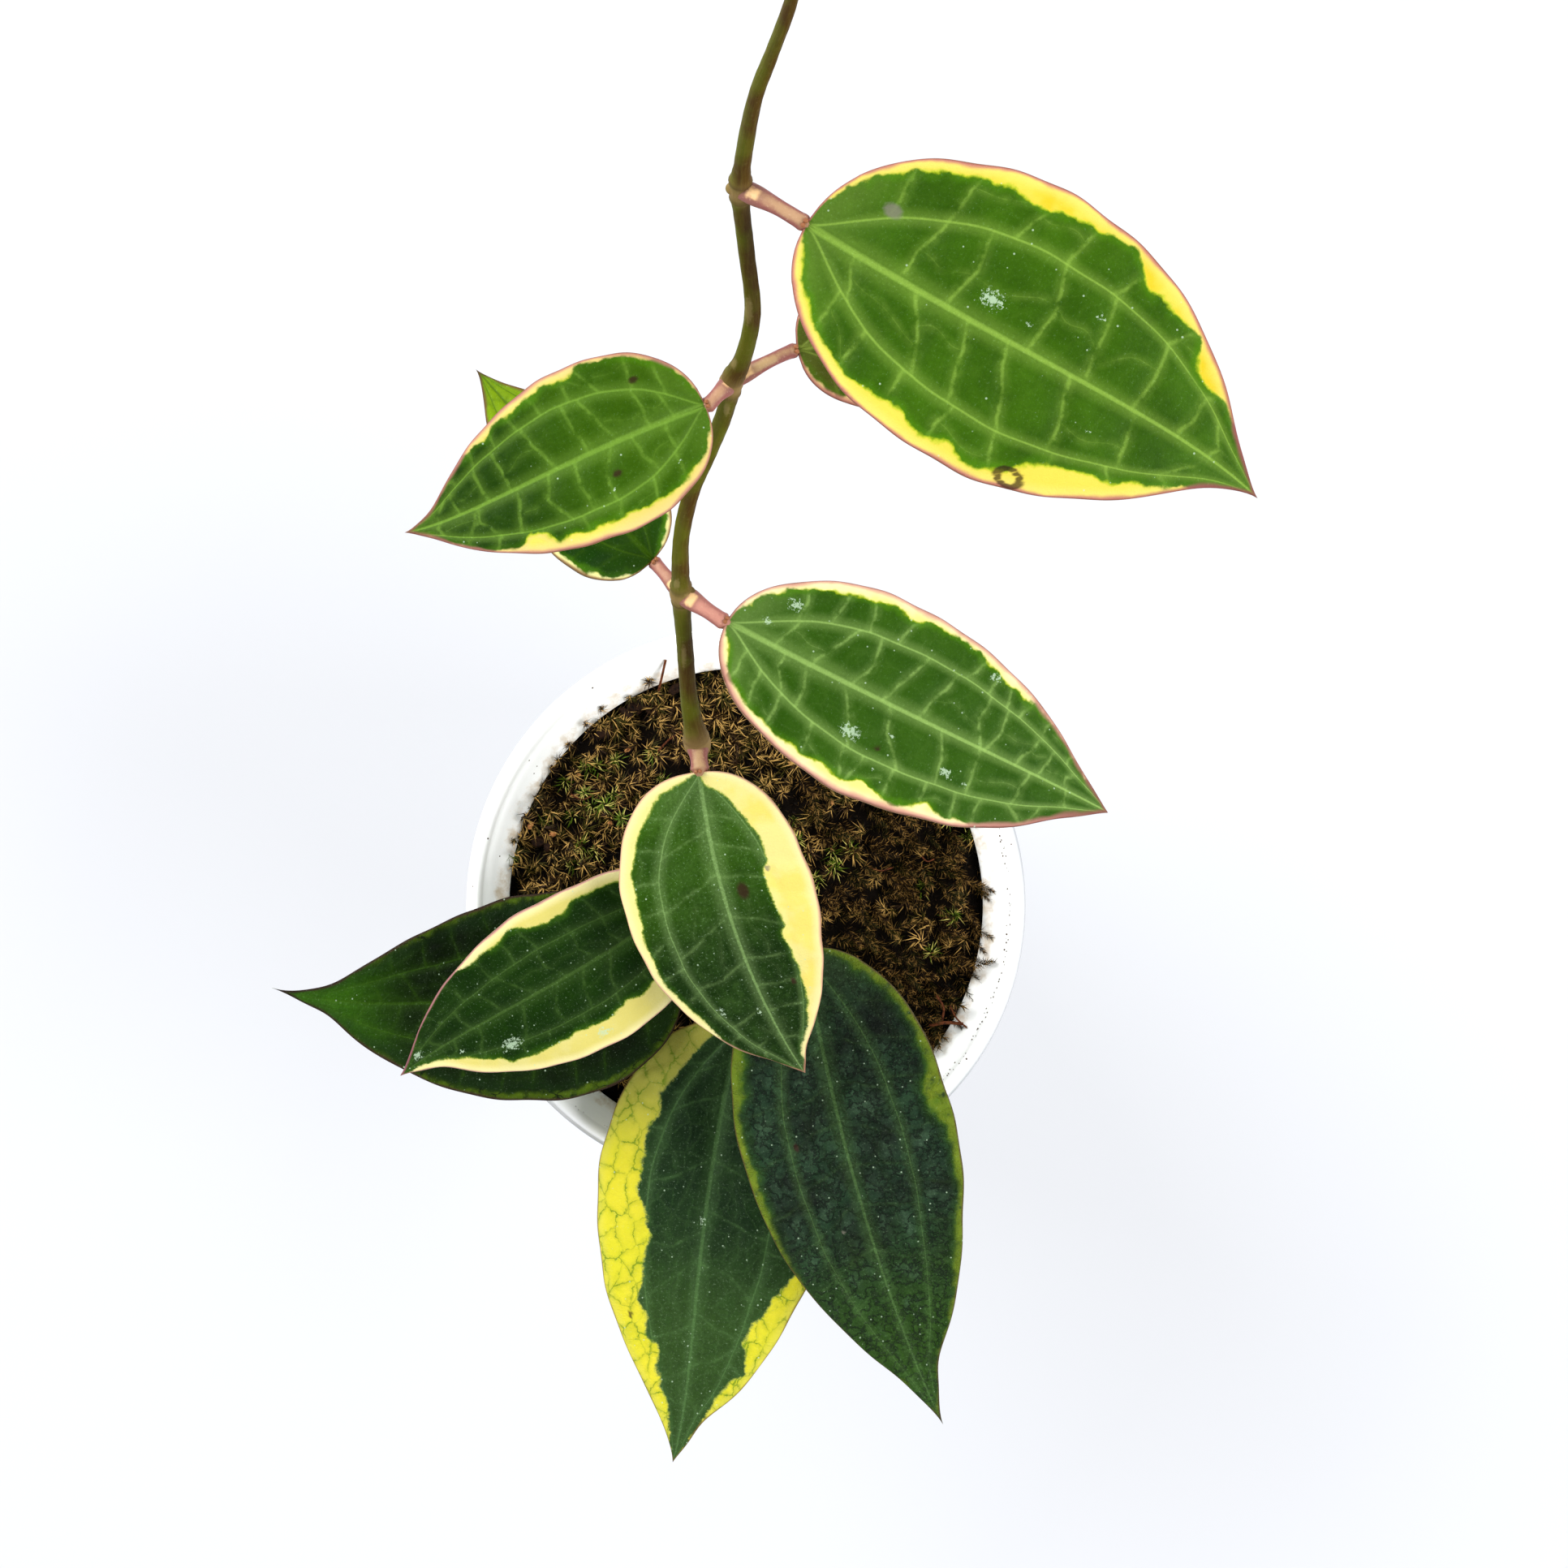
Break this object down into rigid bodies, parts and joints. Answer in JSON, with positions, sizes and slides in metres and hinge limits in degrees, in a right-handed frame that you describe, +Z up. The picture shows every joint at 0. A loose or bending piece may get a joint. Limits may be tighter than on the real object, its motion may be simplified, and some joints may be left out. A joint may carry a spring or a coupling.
{
  "type": "potted variegated hoya plant",
  "caption": "Climbing hoya with large, pointed, cream-edged leaves on a slim upright vine, growing in moss in a round white nursery pot.",
  "frame": {"origin": "middle of the pot's foot, on the resting plane", "axes": "+Z up along the pot's axis; the vine leans towards +Y as it climbs; -Y is the front, where the longest leaves hang over the rim; +X is to the right seen from the front"},
  "size_m": [0.1825, 0.263, 0.3912],
  "materials": {
    "white_plastic": "gloss moulded, with specks of soil",
    "potting_mix": "loose dark bark and peat, damp",
    "moss": "dry olive and brown tufts with greener patches",
    "green_bark": "smooth young bark, olive, satin",
    "young_blade": "satin green blade with yellow margin, pink edge and pale veins",
    "grown_blade": "matte deep green blade with wide cream margin",
    "old_blade": "satin blue-green quilted blade with mottled yellow margin"
  },
  "bodies": {
    "root": {"pot": "white_plastic", "potting_mix": "potting_mix", "moss": "moss", "vine_stem": "green_bark", "leaf_1": "young_blade", "leaf_2": "young_blade", "leaf_3": "young_blade", "leaf_4": "young_blade", "leaf_5": "young_blade", "leaf_6": "grown_blade", "leaf_7": "grown_blade", "leaf_8": "old_blade", "leaf_9": "old_blade", "leaf_10": "old_blade"}
  },
  "joints": []
}
